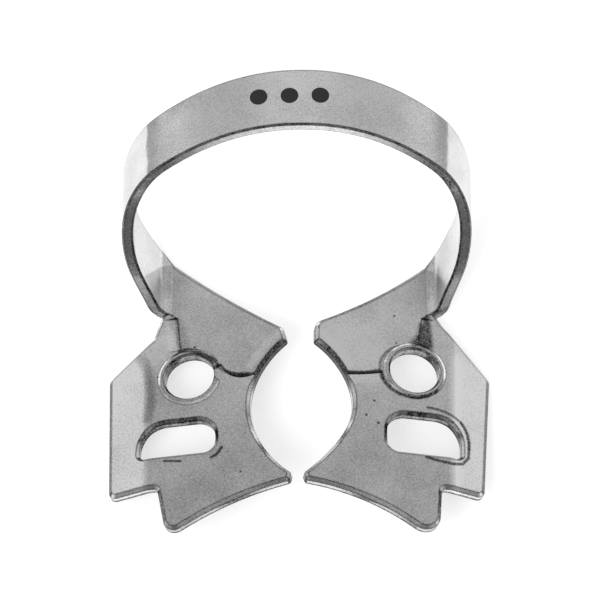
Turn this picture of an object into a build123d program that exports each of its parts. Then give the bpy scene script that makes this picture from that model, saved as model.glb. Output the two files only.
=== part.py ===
from build123d import *
from math import asin, atan2, cos, degrees, radians, sin, sqrt, tan
import os

# A spring clamp that holds a rubber sheet round a back tooth.
# It is one sheet of spring steel, stamped flat and then bent.
# The shape is first drawn with the folds level, X across, Y towards the bow
# and Z up, then leaned back into the pose in which it rests on a table.

# sheet
sheet_thickness = 0.8

# jaw plates and side wings
plate_tilt = 12.0          # the plates rise towards the middle by this angle
wing_tilt = 28.0           # the wings fall outwards by this angle
fold_out = 10.6            # fold line between plate and wing, from the middle
fold_radius = 1.2          # inside radius of that fold
neck_out = 9.69            # where the bow leaves the plate, from the middle

# bow
bow_half_width = 11.41     # widest inside half width
bow_height = 11.5          # inside height of the crown above the neck
crown_radius = 18.0
shoulder_radius = 4.4
leg_radius = 5.9           # the legs curve in below the widest place
leg_angle = 61.0           # slope of the straight foot of the legs
neck_bend_radius = 0.8
bow_lean_share = 0.713     # how far the front edge goes back per height
bow_width = 4.6            # front to back at the crown
leg_width = 4.2            # front to back at the shoulders
leg_foot_width = 5.05      # front to back where the leg meets the neck bend
tail_back = 4.35           # back edge where the neck bend meets the plate
bow_sway = 0.2             # the legs lean this much to the left at mid height
bow_sway_rise_share = 0.75 # a low value brings the lean further down the legs
foot_narrow = 0.2          # the right foot of the bow is narrower by this much
bow_turn = 0.28            # the right shoulder sits this much further back

# jaw outline, each point as distance out from the middle and along Y
tip_back_out_left = 1.2    # back corner of the upper prong
tip_back_out_right = 1.12
tip_back_along_left = -1.82
tip_back_along_right = -1.35
tip_back_radius_left = 0.5
tip_back_radius_right = 0.8
tip_out_left = 0.92        # point of the upper prong
tip_out_right = 1.12
tip_along = -2.85
tip_radius = 0.3
bite_upper_out_left = 2.3  # the tooth recess, between the prongs
bite_upper_out_right = 2.6
bite_upper_along = -4.32
bite_depth_left = 3.5
bite_depth_right = 3.76
bite_along = -7.8
bite_lower_out_left = 2.4
bite_lower_out_right = 2.2
bite_lower_along = -11.6
lower_tip_out_left = 0.6
lower_tip_out_right = 0.35
lower_tip_along = -13.7
lower_tip_front_step = 0.6 # blunt end of the lower prong
lower_tip_radius = 0.28
back_edge_out = 5.0        # a point on the slightly hollow back edge
back_edge_along = 1.0
front_edge_out = 4.2       # a point on the slightly hollow front edge
front_edge_along_left = -15.2
front_edge_along_right = -15.02
toe_out_left = 9.3         # corner of the toe at the front of the jaw
toe_out_right = 9.75
toe_along_left = -17.8
toe_along_right = -18.3
toe_radius_left = 0.8
toe_radius_right = 1.1
step_out = 9.95            # where the front of the wing meets the toe
step_radius = 0.3
wing_front_along = -13.8
wing_out = 13.3
wing_back_along = -4.12
wing_back_radius = 0.6
wing_front_radius = 0.6
wing_taper_left = 0.0      # how far the wing edge comes in towards the front
wing_taper_right = 0.4
notch_out = 10.25          # the relief notch between the neck and the wing
notch_along_left = -1.7
notch_along_right = -0.8
notch_radius = 0.7
under_bend_share = 0.45    # a corner of the plate hidden under the neck bend
under_bend_along = 0.4
edge_round = 0.12          # the stamped edges are broken by this much
edge_worn = 0.24           # and the upper edges of the jaws are polished off by this much
corner_share = 0.4         # a corner radius takes at most this share of a narrow wing

# tool holes
hole_diameter = 3.5
hole_out_left = 7.67
hole_along_left = -5.12
hole_out_right = 8.02
hole_along_right = -4.58

# raised rim pressed up round each tool hole
rim_width = 0.5
rim_height = 0.13
rim_slope = 0.2

# creases: shallow pressed steps from the bow neck to the hole and on to the recess
crease_depth = 0.13
crease_run = 0.9
crease_gap = 0.06
neck_crease_out = 8.55
neck_crease_along = -0.15
neck_crease_end_out = 8.3
bite_crease_out = 3.2
bite_crease_along = -5.3
bite_crease_middle_out = 4.6
bite_crease_middle_along_left = -5.3
bite_crease_middle_along_right = -5.1
bite_crease_angle_left = 20.0    # where it meets the rim, from straight inwards
bite_crease_angle_right = -7.0

# slots
slot_inner_out_left = 5.9  # the inner end of the slot, from the middle
slot_inner_out_right = 6.15
slot_margin_left = 2.12    # from the outer end of the slot to the edge of the wing
slot_margin_right = 2.0
slot_length_left = wing_out - slot_margin_left - slot_inner_out_left
slot_length_right = wing_out - slot_margin_right - slot_inner_out_right
slot_front_along_left = -11.25
slot_front_along_right = -11.15
slot_height_left = 2.6
slot_height_right = 3.02
slot_outer_radius = 2.0
slot_inner_radius = 1.35
slot_front_outer_radius = 0.4
slot_front_inner_radius = 0.9
slot_round_share = 0.45    # a slot corner takes at most this share of a short slot

tilt = radians(plate_tilt)
fall = radians(wing_tilt)
leg = radians(leg_angle)
neck_height = (fold_out - neck_out) * tan(tilt)
crown_inside = neck_height + bow_height
cut_reach = 6.0 * sheet_thickness


def across(start, end, share):
    return start + (end - start) * share


# inside line of the bow, in the XZ plane, on the right half
crown_half = asin((bow_half_width - shoulder_radius) / (crown_radius - shoulder_radius))
crown_centre = (0.0, crown_inside - crown_radius)
shoulder_centre = (
    bow_half_width - shoulder_radius,
    crown_centre[1] + (crown_radius - shoulder_radius) * cos(crown_half),
)
leg_centre = (bow_half_width - leg_radius, shoulder_centre[1])
leg_top = (
    leg_centre[0] + leg_radius * sin(leg),
    leg_centre[1] - leg_radius * cos(leg),
)
# the leg line meets the line of the plate here
meet_run = (leg_top[1] - (fold_out - leg_top[0]) * tan(tilt)) / (
    sin(leg) + cos(leg) * tan(tilt)
)
meet = (leg_top[0] - meet_run * cos(leg), leg_top[1] - meet_run * sin(leg))
bend_reach = neck_bend_radius * tan((leg + tilt) / 2)
bend_start = (meet[0] - bend_reach * cos(tilt), meet[1] + bend_reach * sin(tilt))
bend_end = (meet[0] + bend_reach * cos(leg), meet[1] + bend_reach * sin(leg))
bend_centre = (
    bend_start[0] + neck_bend_radius * sin(tilt),
    bend_start[1] + neck_bend_radius * cos(tilt),
)


def leg_back_edge(height):
    # the width of the bow changes smoothly from the crown to the foot of the leg
    shoulder_share = max(0.0, min(1.0, (height - bend_end[1]) / (shoulder_centre[1] - bend_end[1])))
    crown_share = max(0.0, (height - shoulder_centre[1]) / (crown_inside - shoulder_centre[1]))
    foot = (leg_foot_width - leg_width) * (1 - shoulder_share) ** 2
    top = (bow_width - leg_width) * crown_share
    return front_edge(height) + leg_width + foot + top


def front_edge(height):
    return (height - neck_height) * bow_lean_share


# stations on the inside line: place, direction of the line, front and back edge
stations = []
bend_steps = 6
for step in range(bend_steps + 1):
    share = step / bend_steps
    turn = across(-tilt, leg, share)
    place = (
        bend_centre[0] + neck_bend_radius * sin(turn),
        bend_centre[1] - neck_bend_radius * cos(turn),
    )
    front = across(0.0, front_edge(bend_end[1]), share)
    back = across(tail_back, leg_back_edge(bend_end[1]), sin(share * radians(90)))
    stations.append((place, turn, front, back))

leg_steps = 3
for step in range(1, leg_steps):
    share = step / leg_steps
    place = (across(bend_end[0], leg_top[0], share), across(bend_end[1], leg_top[1], share))
    stations.append((place, leg, front_edge(place[1]), leg_back_edge(place[1])))

upright = radians(90)
curve_steps = 4
for step in range(curve_steps):
    turn = across(leg, upright, step / curve_steps)
    place = (
        leg_centre[0] + leg_radius * sin(turn),
        leg_centre[1] - leg_radius * cos(turn),
    )
    stations.append((place, turn, front_edge(place[1]), leg_back_edge(place[1])))

shoulder_steps = 6
shoulder_end = radians(180) - crown_half
for step in range(shoulder_steps + 1):
    turn = across(upright, shoulder_end, step / shoulder_steps)
    place = (
        shoulder_centre[0] + shoulder_radius * sin(turn),
        shoulder_centre[1] - shoulder_radius * cos(turn),
    )
    stations.append((place, turn, front_edge(place[1]), leg_back_edge(place[1])))

crown_steps = 8
for step in range(1, crown_steps + 1):
    turn = across(shoulder_end, radians(180), step / crown_steps)
    place = (crown_radius * sin(turn), crown_centre[1] - crown_radius * cos(turn))
    stations.append((place, turn, front_edge(place[1]), leg_back_edge(place[1])))


def bow_section(station, side):
    place, turn, front, back = station
    along = Vector(side * cos(turn), 0, sin(turn)) * side
    # a real bow isn't quite even: its legs lean a little to one side
    rise_share = (place[1] - stations[0][0][1]) / (crown_inside - stations[0][0][1])
    rise_share = max(0.0, rise_share)
    sway = bow_sway * sin(radians(180) * rise_share**bow_sway_rise_share)
    back -= foot_narrow * (1 - rise_share) ** 3 * (1 + side) / 2
    turned = bow_turn * rise_share**2 * (place[0] / bow_half_width) * (1 + side) / 2
    plane = Plane(
        origin=(side * place[0] - sway, turned, place[1]),
        x_dir=(0, 1, 0),
        z_dir=(along.X, 0, along.Z),
    )
    middle = (front + back) / 2
    strip = Rectangle(back - front, sheet_thickness)
    strip = chamfer(strip.vertices(), edge_round)
    return plane * (Pos(middle, -sheet_thickness / 2) * strip)


right_run = [bow_section(station, 1) for station in stations]
left_run = [bow_section(station, -1) for station in reversed(stations[:-1])]
bow = loft(right_run + left_run)

# the jaw is cut out of a bent strip: plate, fold and wing, long in Y
plate_top = fold_out * tan(tilt)
strip_out = wing_out + sheet_thickness
strip_back = tail_back + sheet_thickness
strip_front = min(toe_along_left, toe_along_right) - sheet_thickness


def below(point, depth, angle):
    # a point below the top face, measured square to it
    return (point[0] - depth * sin(angle), point[1] - depth * cos(angle))


def bent_strip():
    reach = (fold_radius + sheet_thickness) * tan((fall - tilt) / 2)
    middle = (-sheet_thickness, plate_top + sheet_thickness * tan(tilt))
    plate_end = (fold_out - reach * cos(tilt), reach * sin(tilt))
    wing_start = (fold_out + reach * cos(fall), -reach * sin(fall))
    wing_end = (strip_out, -(strip_out - fold_out) * tan(fall))
    low_middle = below(middle, sheet_thickness, tilt)
    low_plate_end = below(plate_end, sheet_thickness, tilt)
    low_wing_start = below(wing_start, sheet_thickness, fall)
    low_wing_end = below(wing_end, sheet_thickness, fall)
    fold_way = (cos(tilt), -sin(tilt))
    outline = Curve() + [
        Line(middle, plate_end),
        TangentArc(plate_end, wing_start, tangent=fold_way),
        Line(wing_start, wing_end),
        Line(wing_end, low_wing_end),
        Line(low_wing_end, low_wing_start),
        TangentArc(low_plate_end, low_wing_start, tangent=fold_way),
        Line(low_plate_end, low_middle),
        Line(low_middle, middle),
    ]
    plane = Plane(origin=(0, strip_back, 0), x_dir=(1, 0, 0), z_dir=(0, -1, 0))
    return extrude(plane * make_face(outline), amount=strip_back - strip_front)


plate_plane = Plane(
    origin=(0, 0, plate_top),
    x_dir=(cos(tilt), 0, -sin(tilt)),
    z_dir=(sin(tilt), 0, cos(tilt)),
)


def spot(out, along):
    # a point of the top face, given from above, as a point of the plate plane
    drop = tan(tilt) if out <= fold_out else tan(fall)
    height = (fold_out - out) * drop
    return (out * cos(tilt) - (height - plate_top) * sin(tilt), along)


def rounded(face, point, radius):
    # round the corner of the outline that lies at this point
    corner = face.vertices().sort_by_distance(Vector(*point))[0]
    return fillet(corner, radius)


def jaw_outline(side):
    neck = spot(neck_out, 0)
    under_bend = spot(across(bend_start[0], neck_out, under_bend_share), under_bend_along)
    tail_front = spot(bend_start[0], 0)
    tail_end = spot(bend_start[0], tail_back - side["foot_narrow"])
    tip_back = spot(side["tip_back_out"], side["tip_back_along"])
    tip = spot(side["tip_out"], tip_along)
    lower_tip = spot(side["lower_tip_out"], lower_tip_along)
    lower_front = spot(
        side["lower_tip_out"] + lower_tip_front_step / 4,
        lower_tip_along - lower_tip_front_step,
    )
    toe = spot(side["toe_out"], side["toe_along"])
    step = spot(step_out, wing_front_along)
    wing_front = spot(wing_out - side["wing_taper"], wing_front_along)
    wing_back = spot(wing_out, wing_back_along)
    notch = spot(notch_out, side["notch_along"])
    outline = Curve() + [
        ThreePointArc(tail_end, spot(back_edge_out, back_edge_along), tip_back),
        Line(tip_back, tip),
        Spline(
            tip,
            spot(side["bite_upper_out"], bite_upper_along),
            spot(side["bite_depth"], bite_along),
            spot(side["bite_lower_out"], bite_lower_along),
            lower_tip,
        ),
        Line(lower_tip, lower_front),
        ThreePointArc(lower_front, spot(front_edge_out, side["front_edge_along"]), toe),
        Line(toe, step),
        Line(step, wing_front),
        Line(wing_front, wing_back),
        Line(wing_back, notch),
        Line(notch, neck),
        Line(neck, under_bend),
        Line(under_bend, tail_front),
        Line(tail_front, tail_end),
    ]
    face = make_face(outline)
    wing_width = wing_out - side["wing_taper"] - step_out
    widest = wing_width * corner_share
    for point, radius in (
        (tip_back, side["tip_back_radius"]),
        (tip, tip_radius),
        (lower_tip, lower_tip_radius),
        (lower_front, lower_tip_radius),
        (toe, side["toe_radius"]),
        (step, min(step_radius, widest)),
        (wing_front, min(wing_front_radius, widest)),
        (wing_back, min(wing_back_radius, widest)),
        (notch, notch_radius),
    ):
        face = rounded(face, point, radius)
    return face


def slot_outline(side):
    inner = side["slot_inner_out"]
    outer = inner + side["slot_length"]
    front = side["slot_front_along"]
    back = front + side["slot_height"]
    front_inner = spot(inner, front)
    front_outer = spot(outer, front)
    back_outer = spot(outer, back)
    back_inner = spot(inner, back)
    face = make_face(Polyline([front_inner, front_outer, back_outer, back_inner], close=True))
    widest = side["slot_length"] * slot_round_share
    for point, radius in (
        (front_inner, slot_front_inner_radius),
        (front_outer, slot_front_outer_radius),
        (back_outer, slot_outer_radius),
        (back_inner, slot_inner_radius),
    ):
        face = rounded(face, point, min(radius, widest))
    return face


def sharp_edges(blank):
    # the outline edges of the top and bottom faces, without the neck joint
    plate_way = Vector(sin(tilt), 0, cos(tilt))
    tail = Vector(cos(tilt), 0, -sin(tilt))
    tail_reach = Vector(bend_start[0], 0, bend_start[1]).dot(tail)
    chosen = []
    for edge in blank.edges():
        middle = edge @ 0.5
        way = edge % 0.5
        upright = abs(way.dot(plate_way)) > sin(leg)
        level = abs(way.Y) > cos(tilt / 2) and edge.length > 0 and on_fold(middle)
        at_tail = middle.Y > -sheet_thickness and abs(middle.dot(tail) - tail_reach) < sheet_thickness
        if not (upright or level or at_tail):
            chosen.append(edge)
    return chosen


def on_fold(point):
    return abs(point.X - fold_out) < sheet_thickness


def depth_share(edge):
    # how deep in the sheet an edge lies: 0 at the top face, 1 at the bottom face
    point = edge @ 0.5
    angle = tilt if point.X <= fold_out else fall
    top = (fold_out - point.X) * tan(angle)
    return (top - point.Z) * cos(angle) / sheet_thickness


def rim(hole_spot):
    base = hole_diameter / 2 + rim_width
    ring = Cone(base, base - rim_slope, rim_height, align=(Align.CENTER, Align.CENTER, Align.MIN))
    return plate_plane * (Pos(*hole_spot) * ring)


def crease(path, outward):
    # a wedge cut: steep on the side of the middle, running out on the other side
    start = path @ 0
    along = path % 0
    across_way = Vector(-along.Y, along.X) * outward
    far = start + across_way * crease_run
    section = make_face(
        Polyline(
            [
                Vector(start.X, start.Y, -crease_depth),
                Vector(start.X, start.Y, crease_depth),
                Vector(far.X, far.Y, crease_depth),
                Vector(far.X, far.Y, 0),
            ],
            close=True,
        )
    )
    return plate_plane * sweep(section, path=path, is_frenet=False)


def jaw(side):
    outline = plate_plane * jaw_outline(side)
    blank = bent_strip() & extrude(outline, amount=cut_reach, both=True)
    slot = plate_plane * slot_outline(side)
    blank -= extrude(slot, amount=cut_reach, both=True)
    blank = chamfer([edge for edge in sharp_edges(blank) if depth_share(edge) < 1 / 2], edge_worn)
    blank = chamfer([edge for edge in sharp_edges(blank) if depth_share(edge) > 1 - 1 / 8], edge_round)
    hole_spot = spot(side["hole_out"], side["hole_along"])
    hole_axis = plate_plane * Pos(*hole_spot)
    blank += rim(hole_spot)
    blank -= extrude(hole_axis * Circle(hole_diameter / 2), amount=cut_reach, both=True)
    rings = [
        edge
        for edge in blank.edges().filter_by(GeomType.CIRCLE)
        if abs(edge.radius - hole_diameter / 2) < edge_round / 2
        and (edge.arc_center - hole_axis.position).length < cut_reach / 2
    ]
    blank = chamfer(rings, edge_round)
    reach = hole_diameter / 2 + rim_width + crease_gap
    meet_angle = radians(side["crease_angle"])
    blank -= crease(
        Line(
            spot(neck_crease_out, neck_crease_along),
            spot(neck_crease_end_out, side["hole_along"] + reach),
        ),
        1,
    )
    blank -= crease(
        Spline(
            spot(bite_crease_out, bite_crease_along),
            spot(bite_crease_middle_out, side["crease_middle_along"]),
            spot(
                side["hole_out"] - reach * cos(meet_angle),
                side["hole_along"] + reach * sin(meet_angle),
            ),
        ),
        -1,
    )
    return blank


left_side = {
    "foot_narrow": 0.0,
    "tip_back_out": tip_back_out_left,
    "tip_back_along": tip_back_along_left,
    "tip_back_radius": tip_back_radius_left,
    "tip_out": tip_out_left,
    "bite_upper_out": bite_upper_out_left,
    "bite_depth": bite_depth_left,
    "bite_lower_out": bite_lower_out_left,
    "lower_tip_out": lower_tip_out_left,
    "front_edge_along": front_edge_along_left,
    "toe_out": toe_out_left,
    "toe_along": toe_along_left,
    "toe_radius": toe_radius_left,
    "wing_taper": wing_taper_left,
    "notch_along": notch_along_left,
    "hole_out": hole_out_left,
    "hole_along": hole_along_left,
    "slot_inner_out": slot_inner_out_left,
    "slot_length": slot_length_left,
    "slot_front_along": slot_front_along_left,
    "slot_height": slot_height_left,
    "crease_middle_along": bite_crease_middle_along_left,
    "crease_angle": bite_crease_angle_left,
}
right_side = {
    "foot_narrow": foot_narrow,
    "tip_back_out": tip_back_out_right,
    "tip_back_along": tip_back_along_right,
    "tip_back_radius": tip_back_radius_right,
    "tip_out": tip_out_right,
    "bite_upper_out": bite_upper_out_right,
    "bite_depth": bite_depth_right,
    "bite_lower_out": bite_lower_out_right,
    "lower_tip_out": lower_tip_out_right,
    "front_edge_along": front_edge_along_right,
    "toe_out": toe_out_right,
    "toe_along": toe_along_right,
    "toe_radius": toe_radius_right,
    "wing_taper": wing_taper_right,
    "notch_along": notch_along_right,
    "hole_out": hole_out_right,
    "hole_along": hole_along_right,
    "slot_inner_out": slot_inner_out_right,
    "slot_length": slot_length_right,
    "slot_front_along": slot_front_along_right,
    "slot_height": slot_height_right,
    "crease_middle_along": bite_crease_middle_along_right,
    "crease_angle": bite_crease_angle_right,
}
right_jaw = jaw(right_side)
left_jaw = mirror(jaw(left_side), about=Plane.YZ)
clamp = bow + right_jaw + left_jaw

# lean the clamp back until it stands on the wing corners and the neck bends
wing_low = below((wing_out, -(wing_out - fold_out) * tan(fall)), sheet_thickness, fall)
bend_low = bend_centre[1] - neck_bend_radius - sheet_thickness
bend_low_along = across(tail_back, leg_back_edge(bend_end[1]), sin(tilt / (leg + tilt) * radians(90)))
lean_back = atan2(bend_low - wing_low[1], bend_low_along - wing_back_along)
clamp = Rot(X=-degrees(lean_back)) * clamp
box = clamp.bounding_box()
clamp = Pos(-box.center().X, -box.center().Y, -box.min.Z) * clamp

print("lean", degrees(lean_back), "shift", -box.center().X, -box.center().Y, -box.min.Z)
print("volume", clamp.volume, "solids", len(clamp.solids()), clamp.is_valid)
os.makedirs("parts", exist_ok=True)
export_step(clamp, "parts/clamp_spring.step")
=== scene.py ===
import math
from types import SimpleNamespace

import bpy
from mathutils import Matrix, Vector


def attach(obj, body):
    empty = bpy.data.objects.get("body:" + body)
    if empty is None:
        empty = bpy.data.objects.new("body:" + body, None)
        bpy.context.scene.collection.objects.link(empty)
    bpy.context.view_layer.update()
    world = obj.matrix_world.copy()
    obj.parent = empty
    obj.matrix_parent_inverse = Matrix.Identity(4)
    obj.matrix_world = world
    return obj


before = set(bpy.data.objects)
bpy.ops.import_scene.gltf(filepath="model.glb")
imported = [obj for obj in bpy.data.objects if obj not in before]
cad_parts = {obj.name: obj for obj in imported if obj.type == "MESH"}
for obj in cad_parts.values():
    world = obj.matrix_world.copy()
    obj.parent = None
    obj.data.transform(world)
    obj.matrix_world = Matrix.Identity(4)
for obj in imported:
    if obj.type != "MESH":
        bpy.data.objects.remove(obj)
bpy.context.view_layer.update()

MM = 0.001
LEFT = -1
BOW = 0
RIGHT = 1

# The clamp is described in millimetres, as it was drawn: with the folds of the
# jaws level. It rests leaned back by LEAN and moved by SHIFT. The floor, the
# lamp and the camera are in metres.
LEAN = math.radians(10.968095)
SHIFT = Vector((0.0052, 1.0443, 1.3364))
SHEET = 0.8

# Each jaw slopes down from the middle as a plate and, past the fold, steeper
# as a wing.
FOLD_OUT = 10.6
PLATE_SLOPE = math.tan(math.radians(12))
WING_SLOPE = math.tan(math.radians(28))
LEFT_HOLE = (7.67, -5.12)

# The tone of the steel, and how much each feature lightens or darkens it.
TOE_TONE = 0.68
BACK_TONE = 0.78
CLOUD_SHARE = 0.46
# painted reflection on the wings and at the right fold
WING_PAINTED_SHEEN = 0.25
FOLD_PAINTED_SHEEN = 0.3
LEFT_DIM = 0.05
# painted shade on the front-facing cut walls and rims, and along the front edge of the bow
WALL_PAINTED_SHADE = 0.72
RIM_PAINTED_SHADE = 0.86
INNER_LINE_PAINTED_SHADE = 0.85
OUTER_LINE_PAINTED_SHADE = 0.5
# painted shade on the inward walls of the slots and holes
INWARD_PAINTED_SHADE = 0.7
WALL_FOOT_DARK = 0.75
OUTLINE_DARK = 0.9
# painted shade on the surfaces that face down
UNDERSIDE_PAINTED_SHADE = 0.3
# painted shade on the inner face of the legs
FOOT_PAINTED_SHADE = 0.315
# painted light on top of the bow and painted shade at its shoulders
TOP_PAINTED_LIGHT = 0.11
SHOULDER_PAINTED_SHADE = 0.15
PIT_DARK = 0.8
# painted highlight along the lips
LIP_PAINTED_HIGHLIGHT = 0.17
SPECK_DARK = 0.12
# painted shade along every edge
EDGE_LINE_PAINTED_SHADE = 0.85

# How rough the polish is, and how much rougher cut edges and necks are.
POLISH_ROUGH = 0.11
EDGE_ROUGHER = 0.2
NECK_ROUGHER = 0.2

# Lighter patches on the jaws: side, out, along, core, reach, amount
LIGHT_PATCHES = [
    (RIGHT, 3.6, -3.2, 0.8, 4.0, 0.22),
    (LEFT, 9.9, -2.5, 0.5, 2.2, 0.2),
]

# Painted shade along the lines where the sheet was pressed and folded:
# darkness, core, reach, and the points of the line as (out, along)
LINES = {
    LEFT: [
        # the crease from the bow to the tool hole, and the soft shade beside it
        (
            0.62, 0.05, 0.32,
            [(9.6, 1.2), (9.27, 1.1), (8.92, 0.7), (8.67, 0.1), (8.52, -0.9), (8.48, -2.1), (8.29, -2.75)],
        ),
        (0.30, 0.10, 0.75, [(8.6, -0.5), (8.35, -1.2), (8.25, -1.9), (8.1, -2.6)]),
        # over the rim of the hole and on to the bite
        (
            0.80, 0.14, 0.34,
            [(8.29, -2.91), (7.8, -2.93), (7.31, -3.09), (6.8, -3.33), (6.33, -3.66), (5.95, -4.1)],
        ),
        (
            0.85, 0.06, 0.22,
            [(5.95, -4.1), (5.5, -4.68), (5.05, -5.03), (4.6, -5.24), (4.1, -5.34), (3.6, -5.36)],
        ),
        # the shade along the fold of the wing
        (
            0.40, 0.12, 0.60,
            [(11.2, -2.6), (10.85, -3.5), (10.55, -4.6), (10.38, -5.6), (10.36, -6.8), (10.6, -8.1)],
        ),
        (0.42, 0.06, 0.30, [(10.62, -4.5), (10.36, -5.3), (10.3, -6.2), (10.38, -7.2)]),
        # two short lines below the slot
        (0.80, 0.04, 0.14, [(9.41, -11.74), (8.29, -11.89)]),
        (0.85, 0.06, 0.18, [(6.12, -11.85), (5.82, -11.7), (5.6, -11.45), (5.42, -11.12)]),
    ],
    RIGHT: [
        # the crease from the bite to the hole, and on around its rim
        (0.80, 0.05, 0.20, [(3.45, -5.24), (4.1, -5.19), (4.6, -5.12), (5.1, -4.98), (5.63, -4.8)]),
        (
            0.60, 0.04, 0.18,
            [(5.63, -4.6), (5.62, -4.2), (5.75, -3.8), (6.0, -3.35), (6.4, -2.95), (6.9, -2.68)],
        ),
        (
            0.80, 0.05, 0.22,
            [(5.63, -4.8), (5.72, -5.25), (5.95, -5.75), (6.4, -6.25), (7.0, -6.58), (7.7, -6.74)],
        ),
        (0.80, 0.05, 0.22, [(7.7, -6.74), (8.35, -6.72), (8.95, -6.48), (9.45, -6.1)]),
        # the dark fold between the bow and the hole
        (0.80, 0.10, 0.45, [(8.85, -0.1), (9.06, -2.4)]),
        (0.80, 0.20, 0.66, [(8.74, -0.9), (8.62, -2.25)]),
        (0.74, 0.10, 0.55, [(8.6, -1.5), (8.05, -2.35)]),
        # the line around the outer end of the slot
        (0.70, 0.04, 0.17, [(8.92, -7.44), (9.6, -7.5), (10.17, -7.68), (10.75, -7.93), (11.22, -8.25)]),
        (0.85, 0.06, 0.20, [(11.22, -8.25), (11.52, -8.68), (11.71, -9.15), (11.8, -9.7), (11.8, -10.3)]),
        (
            0.80, 0.05, 0.18,
            [(11.8, -10.3), (11.75, -11.0), (11.35, -11.6), (10.7, -11.8), (9.8, -11.7), (8.85, -11.5)],
        ),
    ],
}

# Painted highlights along the lips inside the bites: points as (out, along)
LIPS = {
    LEFT: [(1.36, -2.18), (2.2, -2.97), (2.9, -3.87), (3.39, -4.7)],
    RIGHT: [(1.36, -2.18), (2.13, -2.82), (2.9, -3.7), (3.46, -4.6)],
}

# Small pits in the polish: out, along, radius
PITS = {
    LEFT: [
        (9.34, 0.2, 0.10),
        (7.31, -2.71, 0.09),
        (9.9, -4.84, 0.06),
        (7.31, -8.48, 0.09),
        (4.09, -13.27, 0.08),
    ],
    RIGHT: [
        (6.61, -0.24, 0.08),
        (6.75, -2.45, 0.07),
        (5.21, -7.36, 0.08),
        (4.65, -8.58, 0.10),
        (5.49, -9.13, 0.10),
    ],
}


def placed(x, y, z):
    # a point of the drawing as a point of the frame, still in millimetres
    turn = math.cos(LEAN)
    rise = math.sin(LEAN)
    return Vector((x, y * turn + z * rise, z * turn - y * rise)) + SHIFT


def on_plate(side, out, along):
    # a point on top of a jaw, out from the middle and along the clamp
    slope = PLATE_SLOPE if out < FOLD_OUT else WING_SLOPE
    return placed(side * out, along, (FOLD_OUT - out) * slope)


class Nodes:
    # adds and links the nodes of one material or world

    def __init__(self, tree):
        self.tree = tree
        self.tree.nodes.clear()

    def add(self, kind, **props):
        made = self.tree.nodes.new(kind)
        for key, value in props.items():
            setattr(made, key, value)
        return made

    def feed(self, value, socket):
        # a number or a vector is set on the socket, an output is linked to it
        if isinstance(value, (int, float)):
            socket.default_value = value
        elif isinstance(value, (tuple, Vector)):
            socket.default_value = tuple(value)
        else:
            self.tree.links.new(value, socket)

    def calc(self, operation, *values, clamp=False):
        made = self.add("ShaderNodeMath", operation=operation, use_clamp=clamp)
        for value, socket in zip(values, made.inputs):
            self.feed(value, socket)
        return made.outputs[0]

    def plus(self, first, *others, clamp=False):
        for other in others:
            first = self.calc("ADD", first, other, clamp=clamp)
        return first

    def less(self, first, other, clamp=False):
        return self.calc("SUBTRACT", first, other, clamp=clamp)

    def times(self, first, *others):
        for other in others:
            first = self.calc("MULTIPLY", first, other)
        return first

    def strongest(self, masks):
        strong = masks[0]
        for mask in masks[1:]:
            strong = self.calc("MAXIMUM", strong, mask)
        return strong

    def vector(self, operation, *values):
        made = self.add("ShaderNodeVectorMath", operation=operation)
        for value, socket in zip(values, made.inputs):
            self.feed(value, socket)
        return made

    def distance(self, spot, point):
        return self.vector("DISTANCE", spot, point).outputs["Value"]

    def blend(self, value, low, high, start, end):
        # start below low, end above high, smooth between them
        made = self.add("ShaderNodeMapRange", interpolation_type="SMOOTHSTEP")
        made.inputs["From Min"].default_value = low
        made.inputs["From Max"].default_value = high
        made.inputs["To Min"].default_value = start
        made.inputs["To Max"].default_value = end
        self.feed(value, made.inputs["Value"])
        return made.outputs[0]

    def rise(self, value, low, high):
        return self.blend(value, low, high, 0.0, 1.0)

    def fall(self, value, low, high):
        return self.blend(value, low, high, 1.0, 0.0)

    def band(self, spot, start, end, core, reach):
        # 1 within core of the line from start to end, fading to 0 at reach
        way = end - start
        rel = self.vector("SUBTRACT", spot, start).outputs[0]
        dot = self.vector("DOT_PRODUCT", rel, way).outputs["Value"]
        share = self.calc("DIVIDE", dot, way.length_squared, clamp=True)
        near = self.vector("SCALE", way)
        self.feed(share, near.inputs["Scale"])
        return self.fall(self.distance(rel, near.outputs[0]), core, reach)

    def bands(self, spot, points, core, reach):
        # the same along a line of several points
        parts = [self.band(spot, start, end, core, reach) for start, end in zip(points, points[1:])]
        return self.strongest(parts)

    def level(self, y, z):
        # a direction or place of the frame, turned back to the drawing
        turn = math.cos(LEAN)
        rise = math.sin(LEAN)
        along = self.less(self.times(y, turn), self.times(z, rise))
        high = self.plus(self.times(y, rise), self.times(z, turn))
        return along, high

    def lighter(self, tone, mask, amount):
        return self.plus(tone, self.times(mask, amount))

    def darker(self, tone, mask, amount):
        return self.times(tone, self.less(1.0, self.times(mask, amount)))

    def noise(self, coords, scale, detail, rough=0.55):
        made = self.add("ShaderNodeTexNoise")
        made.inputs["Scale"].default_value = scale
        made.inputs["Detail"].default_value = detail
        made.inputs["Roughness"].default_value = rough
        self.feed(coords, made.inputs["Vector"])
        return made.outputs[0]


def new_material(name):
    mat = bpy.data.materials.new(name)
    mat.use_nodes = True
    n = Nodes(mat.node_tree)
    return mat, n


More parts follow.
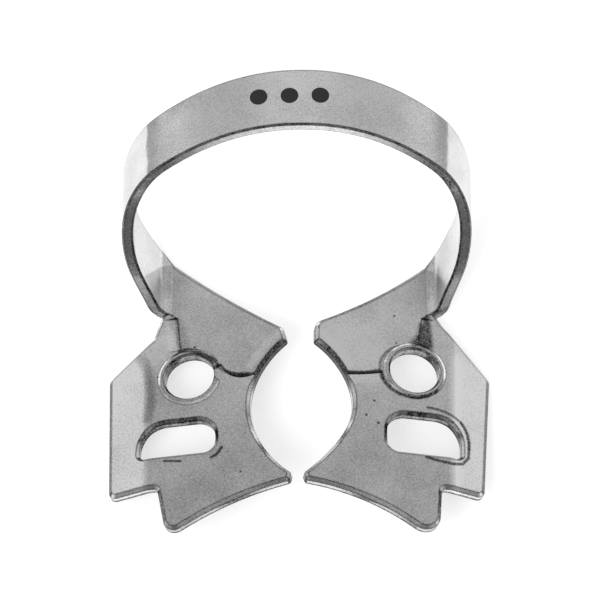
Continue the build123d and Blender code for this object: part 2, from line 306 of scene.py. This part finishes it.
def surface(n):
    # where a point of the clamp is, as drawn: x, out from the middle, along
    # towards the bow and high; the same for the way that its surface faces;
    # and two masks, for the bow and for surfaces that face up
    coords = n.add("ShaderNodeTexCoord")
    place = coords.outputs["Object"]
    grown = n.vector("SCALE", place)
    n.feed(1 / MM, grown.inputs["Scale"])
    spot = grown.outputs[0]

    split = n.add("ShaderNodeSeparateXYZ")
    n.feed(spot, split.inputs[0])
    x = split.outputs["X"]
    side = n.blend(x, -1.0, 1.0, LEFT, RIGHT)
    from_y = n.less(split.outputs["Y"], SHIFT.y)
    from_z = n.less(split.outputs["Z"], SHIFT.z)
    along, high = n.level(from_y, from_z)

    way = n.add("ShaderNodeSeparateXYZ")
    n.feed(coords.outputs["Normal"], way.inputs[0])
    way_along, way_up = n.level(way.outputs["Y"], way.outputs["Z"])

    return SimpleNamespace(
        place=place,
        spot=spot,
        x=x,
        side=side,
        out=n.calc("ABSOLUTE", x),
        along=along,
        high=high,
        way_along=way_along,
        way_up=way_up,
        way_out=n.times(way.outputs["X"], side),
        bow=n.rise(high, 0.5, 0.9),
        upper=n.rise(way_up, 0.34, 0.46),
    )


def polish_and_painted_sheen(n, at, cloud):
    # clouded, and a little darker towards the toes
    tone = n.blend(at.along, -16.0, 0.0, TOE_TONE, BACK_TONE)
    tone = n.lighter(tone, cloud, CLOUD_SHARE)

    # painted reflection: the wings are lighter than the plates, most of all at the right fold, as the
    # steeper wings reflect a brighter sky
    wing = n.times(n.rise(at.out, 10.2, 11.2), n.fall(at.along, -4.0, -2.0))
    tone = n.lighter(tone, wing, WING_PAINTED_SHEEN)
    fold = n.times(n.rise(at.x, 10.1, 10.5), n.fall(at.out, 10.7, 11.5))
    tone = n.lighter(tone, n.times(wing, fold), FOLD_PAINTED_SHEEN)
    for side, out, along, core, reach, amount in LIGHT_PATCHES:
        away = n.distance(at.spot, on_plate(side, out, along))
        tone = n.plus(tone, n.blend(away, core, reach, amount, 0.0))

    # the left jaw is a little darker than the right one
    dim = n.times(n.blend(at.x, -2.0, 2.0, LEFT_DIM, 0.0), n.fall(at.along, 0.0, 2.0))
    return n.less(tone, dim)


def cut_edges_and_painted_shade(n, at, tone):
    # edges that face the front, but not those of the raised ring at the left hole
    facing = n.fall(at.way_along, -0.34, -0.14)
    centre = n.distance(at.spot, on_plate(LEFT, *LEFT_HOLE))
    ring = n.times(n.rise(centre, 1.85, 1.95), n.fall(centre, 2.7, 2.8))
    facing = n.less(facing, ring, clamp=True)

    # painted shade on the front-facing walls and rims: dark in the bites and holes, lighter at the toes,
    # and on the bow by height
    toe = n.blend(at.along, -12.5, -10.5, 0.30, 1.0)
    leg = n.blend(at.high, 2.2, 4.2, 0.0, 0.34)
    crown = n.plus(leg, n.blend(at.high, 8.0, 10.5, 0.0, 0.66))
    mottle = n.blend(n.noise(at.place, scale=1700, detail=2), 0.38, 0.6, 1.0, 0.55)
    dull_and_shaded = n.times(facing, mottle)
    wall = n.times(dull_and_shaded, n.less(1.0, at.upper))
    rim = n.times(dull_and_shaded, at.upper)
    wall_share = n.plus(toe, n.times(n.less(leg, toe), at.bow))
    rim_share = n.plus(toe, n.times(n.less(crown, toe), at.bow))
    tone = n.darker(tone, n.times(wall, wall_share), WALL_PAINTED_SHADE)
    tone = n.darker(tone, n.times(rim, rim_share), RIM_PAINTED_SHADE)

    # painted shade: the dark lines inside and outside the front edge of the bow
    front = n.times(facing, at.bow)
    inner_line = n.times(front, n.fall(at.way_out, -0.34, -0.2))
    outer_line = n.times(front, n.rise(at.way_out, 0.2, 0.34))
    tone = n.darker(tone, inner_line, INNER_LINE_PAINTED_SHADE)
    tone = n.darker(tone, outer_line, OUTER_LINE_PAINTED_SHADE)
    return tone, dull_and_shaded


def shaded_inward_walls(n, at, tone):
    # painted shade on the cut walls in the slots and holes that face inwards
    jaw = n.times(n.rise(at.out, 5.0, 5.4), n.fall(at.along, -3.0, -2.0))
    inwards = n.times(n.fall(at.way_out, -0.6, -0.4), n.fall(at.way_up, 0.34, 0.6))
    return n.darker(tone, n.times(jaw, inwards), INWARD_PAINTED_SHADE)


def wall_foot_line(n, at, tone):
    # a darker line at the foot of the cut walls
    inside = n.less(FOLD_OUT, at.out)
    top = n.calc("MINIMUM", n.times(inside, PLATE_SLOPE), n.times(inside, WING_SLOPE))
    wall_foot = n.rise(n.less(top, at.high), 0.50, 0.60)
    wall_foot = n.times(wall_foot, n.less(1.0, at.upper), n.fall(at.along, -0.8, -0.4))
    return n.darker(tone, wall_foot, WALL_FOOT_DARK)


def outlines(n, at, tone):
    # darker edges at the outside, at the back and at the tips of the prongs
    outer = n.times(n.rise(at.way_out, 0.72, 0.86), n.fall(at.along, -1.0, -0.5))
    behind = n.rise(at.way_along, 0.3, 0.5)
    prong = n.times(n.fall(at.out, 1.8, 2.2), n.rise(at.along, -3.2, -2.8))
    prong = n.times(prong, n.fall(at.way_out, -0.6, -0.4))
    outline = n.strongest([outer, behind, prong])
    outline = n.times(outline, n.rise(at.way_up, 0.1, 0.2), n.fall(at.way_up, 0.76, 0.84))
    return n.darker(tone, outline, OUTLINE_DARK)


def shaded_undersides(n, at, tone):
    # painted shade on the surfaces that face down
    return n.darker(tone, n.fall(at.way_up, -0.2, -0.05), UNDERSIDE_PAINTED_SHADE)


def shaded_leg_feet(n, at, tone):
    # painted shade in the reflection on the inner face of the legs, up to a
    # slanting line, which is a little different on each side
    reach = n.less(n.less(3.95, n.times(at.side, 0.25)), at.along)
    slope = n.less(0.85, n.times(at.side, 0.1))
    limit = n.plus(n.times(reach, slope), 0.4)
    foot = n.rise(n.less(limit, at.high), -0.12, 0.12)
    foot = n.times(foot, n.rise(at.out, 8.3, 8.8), n.fall(at.way_out, -0.02, 0.14))
    foot = n.times(foot, n.rise(at.along, -0.2, 0.1), n.rise(at.along, 0.8, 2.6))
    return n.darker(tone, foot, FOOT_PAINTED_SHADE)


def bow_painted_light_and_shade(n, at, tone):
    # painted light on top; painted shade where the bow turns down at its shoulders
    tone = n.lighter(tone, n.rise(at.high, 9.5, 12.0), TOP_PAINTED_LIGHT)
    turned = n.times(n.rise(n.calc("ABSOLUTE", at.way_out), 0.56, 0.72), at.bow)
    return n.darker(tone, turned, SHOULDER_PAINTED_SHADE), turned


def painted_lines_and_pits(n, at, tone, jaw):
    # the lip's painted highlight, the lines' painted shade and the pits of one jaw
    lip = [on_plate(jaw, *point) for point in LIPS[jaw]]
    # painted highlight along the lip
    tone = n.lighter(tone, n.bands(at.spot, lip, 0.08, 0.5), LIP_PAINTED_HIGHLIGHT)
    marks = []
    # painted shade along the creases and folds
    for dark, core, reach, points in LINES[jaw]:
        spots = [on_plate(jaw, *point) for point in points]
        marks.append(n.times(n.bands(at.spot, spots, core, reach), dark))
    for out, along, radius in PITS[jaw]:
        away = n.distance(at.spot, on_plate(jaw, out, along))
        marks.append(n.blend(away, radius * 0.6, radius * 1.6, PIT_DARK, 0.0))
    return n.times(tone, n.less(1.0, n.strongest(marks)))


def specks(n, at, tone):
    # fine dark specks, in some places only
    cells = n.add("ShaderNodeTexVoronoi", feature="F1")
    cells.inputs["Scale"].default_value = 900
    n.feed(at.place, cells.inputs["Vector"])
    speck = n.fall(cells.outputs["Distance"], 0.05, 0.12)
    some = n.rise(n.noise(at.place, scale=500, detail=1), 0.58, 0.64)
    return n.less(tone, n.times(speck, some, SPECK_DARK))


def edge_lines(n, tone):
    # a fine line of painted shade along every edge, where a rounded normal would turn away
    rounded = n.add("ShaderNodeBevel", samples=6)
    rounded.inputs["Radius"].default_value = 0.16 * MM
    true = n.add("ShaderNodeNewGeometry").outputs["Normal"]
    alike = n.vector("DOT_PRODUCT", rounded.outputs[0], true).outputs["Value"]
    return n.darker(tone, n.fall(alike, 0.96, 0.998), EDGE_LINE_PAINTED_SHADE)


def steel(name, part):
    # polished steel for one part of the clamp: the bow or a jaw
    mat, n = new_material(name)
    out = n.add("ShaderNodeOutputMaterial")
    bsdf = n.add("ShaderNodeBsdfPrincipled")
    n.feed(bsdf.outputs[0], out.inputs[0])
    bsdf.inputs["Metallic"].default_value = 1.0

    at = surface(n)
    cloud = n.less(n.noise(at.place, scale=300, detail=4, rough=0.6), 0.5)
    grain = n.less(n.noise(at.place, scale=8200, detail=3, rough=0.8), 0.5)
    tone = polish_and_painted_sheen(n, at, cloud)
    tone, dull_and_shaded = cut_edges_and_painted_shade(n, at, tone)
    tone = shaded_inward_walls(n, at, tone)
    tone = wall_foot_line(n, at, tone)
    tone = outlines(n, at, tone)
    tone = shaded_undersides(n, at, tone)
    tone = shaded_leg_feet(n, at, tone)
    tone, turned = bow_painted_light_and_shade(n, at, tone)
    if part != BOW:
        tone = painted_lines_and_pits(n, at, tone, part)
    tone = specks(n, at, tone)
    tone = edge_lines(n, tone)

    # the grain is finer at the shoulders of the bow
    grain = n.times(grain, n.blend(turned, 0.0, 1.0, 1.3, 0.4))
    tone = n.plus(tone, grain, clamp=True)
    grey = n.add("ShaderNodeCombineColor")
    for channel in grey.inputs:
        n.feed(tone, channel)
    n.feed(grey.outputs[0], bsdf.inputs["Base Color"])

    # duller on the cut edges and where the bow meets the jaws
    neck = n.times(n.rise(at.along, -2.5, 0.0), n.fall(at.high, 2.0, 3.0))
    rough = n.plus(n.times(dull_and_shaded, EDGE_ROUGHER), POLISH_ROUGH)
    rough = n.plus(rough, n.times(neck, NECK_ROUGHER))
    n.feed(rough, bsdf.inputs["Roughness"])

    bump = n.add("ShaderNodeBump")
    bump.inputs["Strength"].default_value = 0.15
    bump.inputs["Distance"].default_value = 0.01 * MM
    relief = n.plus(grain, n.times(cloud, 3.0))
    n.feed(relief, bump.inputs["Height"])
    n.feed(bump.outputs[0], bsdf.inputs["Normal"])
    return mat


def dress_clamp():
    # one steel for the bow and one for each jaw, because all the marks
    # together are too many for one material
    clamp = bpy.data.objects["clamp_spring"]
    clamp.data.materials.clear()
    names = ("steel_bow", "steel_left", "steel_right")
    parts = (BOW, LEFT, RIGHT)
    for name, part in zip(names, parts):
        clamp.data.materials.append(steel(name, part))
    bow_starts = 1.2 * MM
    for face in clamp.data.polygons:
        middle = clamp.matrix_world @ face.center
        if middle.y >= bow_starts:
            part = BOW
        elif middle.x < 0:
            part = LEFT
        else:
            part = RIGHT
        face.material_index = parts.index(part)


def dimple_material():
    mat, n = new_material("dimple_black")
    out = n.add("ShaderNodeOutputMaterial")
    bsdf = n.add("ShaderNodeBsdfPrincipled")
    n.feed(bsdf.outputs[0], out.inputs[0])
    bsdf.inputs["Base Color"].default_value = (0.02, 0.02, 0.02, 1)
    bsdf.inputs["Roughness"].default_value = 0.6
    return mat


def dimples():
    # plain round black-filled punch marks, flat on the arched crown of the bow
    black = dimple_material()
    places = ((-2.85, 10.6), (-0.7, 10.6), (1.45, 10.65))
    radius = 0.62
    depth = 0.03
    arch = 18.8
    foot_out = 9.69
    bow_rise = 11.5
    crown = bow_rise + (FOLD_OUT - foot_out) * PLATE_SLOPE + SHEET
    proud = 0.004
    for index, (x, along) in enumerate(places):
        drop = arch - math.sqrt(arch**2 - x**2)
        bpy.ops.mesh.primitive_cylinder_add(
            vertices=40,
            radius=radius * MM,
            depth=depth * MM,
            location=placed(x, along, crown - drop + proud) * MM,
        )
        obj = bpy.context.object
        obj.name = "punch_mark_%d" % index
        obj.rotation_euler = (-LEAN, math.asin(x / arch), 0)
        obj.data.materials.append(black)
        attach(obj, "root")


def floor_material():
    # lit by the studio, and with a glow that the eye and the steel see
    mat, n = new_material("studio_floor")
    out = n.add("ShaderNodeOutputMaterial")
    diffuse = n.add("ShaderNodeBsdfDiffuse")
    diffuse.inputs["Color"].default_value = (0.8, 0.8, 0.8, 1)
    glow = n.add("ShaderNodeEmission")
    both = n.add("ShaderNodeAddShader")
    path = n.add("ShaderNodeLightPath")
    seen = n.plus(path.outputs["Is Camera Ray"], path.outputs["Is Glossy Ray"])
    seen = n.plus(seen, path.outputs["Is Transmission Ray"], clamp=True)
    n.feed(n.times(seen, 0.6), glow.inputs["Strength"])
    n.feed(diffuse.outputs[0], both.inputs[0])
    n.feed(glow.outputs[0], both.inputs[1])
    n.feed(both.outputs[0], out.inputs[0])
    return mat


def studio_floor():
    bpy.ops.mesh.primitive_plane_add(size=3.0, location=(0, 0, 0))
    floor = bpy.context.object
    floor.name = "floor"
    floor.data.materials.append(floor_material())


# The sky of the studio: height from straight below to straight above, strength
SKY = [
    (0.0, 0.42),
    (0.2, 0.46),
    (0.34, 0.68),
    (0.43, 0.54),
    (0.5, 0.48),
    (0.656, 0.445),
    (0.75, 0.58),
    (1.0, 0.66),
]


def studio_sky():
    # grey all round, and darker in front
    world = bpy.data.worlds.new("studio")
    bpy.context.scene.world = world
    world.use_nodes = True
    n = Nodes(world.node_tree)
    out = n.add("ShaderNodeOutputWorld")
    light = n.add("ShaderNodeBackground")
    light.inputs["Color"].default_value = (1, 1, 1, 1)
    coords = n.add("ShaderNodeTexCoord")
    way = n.add("ShaderNodeSeparateXYZ")
    n.feed(coords.outputs["Generated"], way.inputs[0])

    ramp = n.add("ShaderNodeValToRGB")
    stops = ramp.color_ramp.elements
    stops[0].position = SKY[0][0]
    stops[1].position = SKY[-1][0]
    for height, strength in SKY[1:-1]:
        stops.new(height)
    for stop, (height, strength) in zip(stops, SKY):
        stop.color = (strength, strength, strength, 1)
    n.feed(way.outputs["Z"], ramp.inputs[0])

    front = n.blend(way.outputs["Y"], -0.85, -0.45, 0.25, 1.0)
    n.feed(n.times(ramp.outputs[0], front), light.inputs["Strength"])
    n.feed(light.outputs[0], out.inputs[0])


def key_lamp():
    # one soft lamp, unseen in the steel
    data = bpy.data.lights.new("key", "AREA")
    data.shape = "DISK"
    data.size = 0.35
    data.energy = 1.6
    lamp = bpy.data.objects.new("key", data)
    bpy.context.collection.objects.link(lamp)
    lamp.location = (-0.25, -0.35, 0.55)
    lamp.rotation_euler = lamp.location.to_track_quat("Z", "Y").to_euler()
    lamp.visible_glossy = False


def front_camera():
    # in front, high up and far away
    elevation = math.radians(68.968095)
    image_size = 591
    pixels_per_mm = 14.3
    distance = 1.0
    target = Vector((-0.275, 2.55, 2.091)) * MM
    data = bpy.data.cameras.new("camera")
    data.sensor_fit = "HORIZONTAL"
    data.sensor_width = 36.0
    data.lens = data.sensor_width * distance / (image_size / pixels_per_mm * MM)
    data.clip_start = 0.01
    data.clip_end = 10.0
    camera = bpy.data.objects.new("camera", data)
    bpy.context.collection.objects.link(camera)
    look = Vector((0, math.cos(elevation), -math.sin(elevation)))
    camera.location = target - look * distance
    camera.rotation_euler = (math.pi / 2 - elevation, 0, 0)
    bpy.context.scene.camera = camera


dress_clamp()
dimples()
studio_floor()
studio_sky()
key_lamp()
front_camera()
bpy.context.scene.view_settings.view_transform = "Standard"
